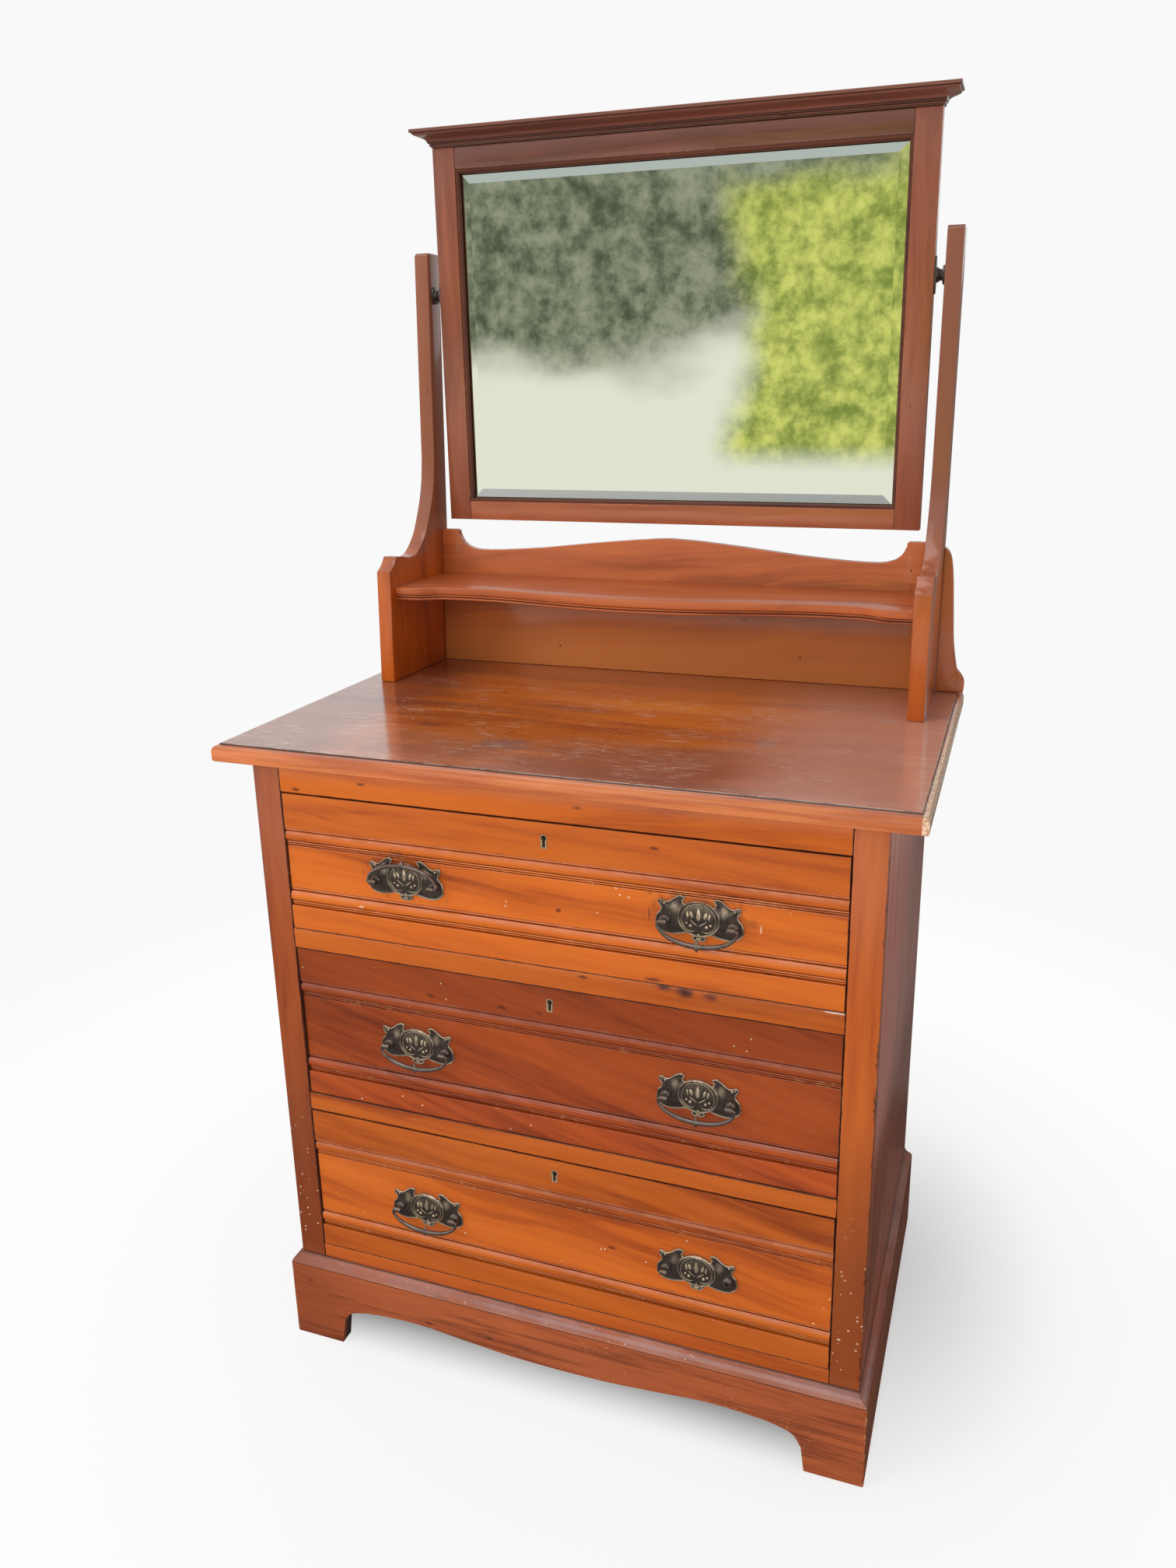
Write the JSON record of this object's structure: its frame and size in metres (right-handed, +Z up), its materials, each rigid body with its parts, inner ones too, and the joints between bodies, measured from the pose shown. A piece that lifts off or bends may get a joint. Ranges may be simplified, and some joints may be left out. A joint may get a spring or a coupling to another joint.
{
  "type": "dressing chest",
  "caption": "Chest of long drawers with drop handles on an arched plinth, with a shelf and a mirror that swings between posts.",
  "frame": {"origin": "on the floor, under the middle of the whole chest's bounding box", "axes": "+X to the viewer's right, +Y to the back (drawers open towards -Y), +Z up"},
  "size_m": [0.838, 0.5454, 1.6067],
  "materials": {
    "bright_wood": "polished satin walnut, bright orange brown",
    "dark_wood": "polished satin walnut, red brown",
    "frame_wood": "polished satin walnut, mid brown",
    "inner_wood": "bare pine",
    "dark_brass": "antiqued stamped brass",
    "bright_brass": "worn brass",
    "iron": "blackened",
    "mirror": "silvered bevelled plate"
  },
  "bodies": {
    "chest": {"top_board": "dark_wood", "side_left": "bright_wood", "side_right": "bright_wood", "stile_left": "bright_wood", "stile_right": "bright_wood", "rail_bottom": "bright_wood", "rail_lower": "bright_wood", "rail_upper": "bright_wood", "rail_top": "bright_wood", "plinth_front": "dark_wood", "plinth_left": "dark_wood", "plinth_right": "dark_wood", "back_panel": "inner_wood", "bottom_board": "inner_wood", "dust_board_lower": "inner_wood", "dust_board_upper": "inner_wood", "standard_left": "frame_wood", "standard_right": "frame_wood", "shelf": "frame_wood", "shelf_moulding": "frame_wood", "backboard": "frame_wood", "wing_left": "frame_wood", "wing_right": "frame_wood", "post_pivot_left": "iron", "post_pivot_right": "iron"},
    "mirror": {"mirror_stile_left": "frame_wood", "mirror_stile_right": "frame_wood", "mirror_bottom_rail": "frame_wood", "mirror_top_rail": "frame_wood", "mirror_cornice": "frame_wood", "mirror_glass": "mirror", "mirror_backing": "inner_wood", "frame_pivot_plate_left": "iron", "frame_pivot_plate_right": "iron"},
    "upper_drawer": {"upper_drawer_front": "bright_wood", "upper_drawer_box": "inner_wood", "upper_drawer_bottom": "inner_wood", "upper_drawer_lock_case": "iron", "upper_drawer_escutcheon": "bright_brass", "upper_drawer_plate_left": "dark_brass", "upper_drawer_plate_right": "dark_brass"},
    "upper_drawer_bail_left": {"upper_drawer_bail_left": "dark_brass"},
    "upper_drawer_bail_right": {"upper_drawer_bail_right": "dark_brass"},
    "middle_drawer": {"middle_drawer_front": "bright_wood", "middle_drawer_box": "inner_wood", "middle_drawer_bottom": "inner_wood", "middle_drawer_lock_case": "iron", "middle_drawer_escutcheon": "bright_brass", "middle_drawer_plate_left": "dark_brass", "middle_drawer_plate_right": "dark_brass"},
    "middle_drawer_bail_left": {"middle_drawer_bail_left": "dark_brass"},
    "middle_drawer_bail_right": {"middle_drawer_bail_right": "dark_brass"},
    "lower_drawer": {"lower_drawer_front": "bright_wood", "lower_drawer_box": "inner_wood", "lower_drawer_bottom": "inner_wood", "lower_drawer_lock_case": "iron", "lower_drawer_escutcheon": "bright_brass", "lower_drawer_plate_left": "dark_brass", "lower_drawer_plate_right": "dark_brass"},
    "lower_drawer_bail_left": {"lower_drawer_bail_left": "dark_brass"}
  },
  "joints": [
    {"name": "upper_drawer_slide", "type": "slide", "parent": "chest", "child": "upper_drawer", "axis": [0, -1, 0], "range_m": [0, 0.3]},
    {"name": "upper_drawer_bail_left_swing", "type": "hinge", "parent": "upper_drawer", "child": "upper_drawer_bail_left", "pos_m": [-0.1805, -0.25875, 0.699], "axis": [-1, 0, 0], "range_deg": [-188, 0]},
    {"name": "upper_drawer_bail_right_swing", "type": "hinge", "parent": "upper_drawer", "child": "upper_drawer_bail_right", "pos_m": [0.1805, -0.25875, 0.699], "axis": [-1, 0, 0], "range_deg": [0, 188]},
    {"name": "middle_drawer_slide", "type": "slide", "parent": "chest", "child": "middle_drawer", "axis": [0, -1, 0], "range_m": [0, 0.3]},
    {"name": "middle_drawer_bail_left_swing", "type": "hinge", "parent": "middle_drawer", "child": "middle_drawer_bail_left", "pos_m": [-0.1805, -0.25675, 0.4768], "axis": [-1, 0, 0], "range_deg": [0, 188]},
    {"name": "middle_drawer_bail_right_swing", "type": "hinge", "parent": "middle_drawer", "child": "middle_drawer_bail_right", "pos_m": [0.1805, -0.25675, 0.4768], "axis": [-1, 0, 0], "range_deg": [0, 188]},
    {"name": "lower_drawer_slide", "type": "slide", "parent": "chest", "child": "lower_drawer", "axis": [0, -1, 0], "range_m": [0, 0.3]},
    {"name": "lower_drawer_bail_left_swing", "type": "hinge", "parent": "lower_drawer", "child": "lower_drawer_bail_left", "pos_m": [-0.1805, -0.25875, 0.2384], "axis": [-1, 0, 0], "range_deg": [0, 188]},
    {"name": "mirror_swing", "type": "hinge", "parent": "chest", "child": "mirror", "pos_m": [0, 0.25194, 1.3924], "axis": [1, 0, 0], "range_deg": [-70, 70]}
  ]
}
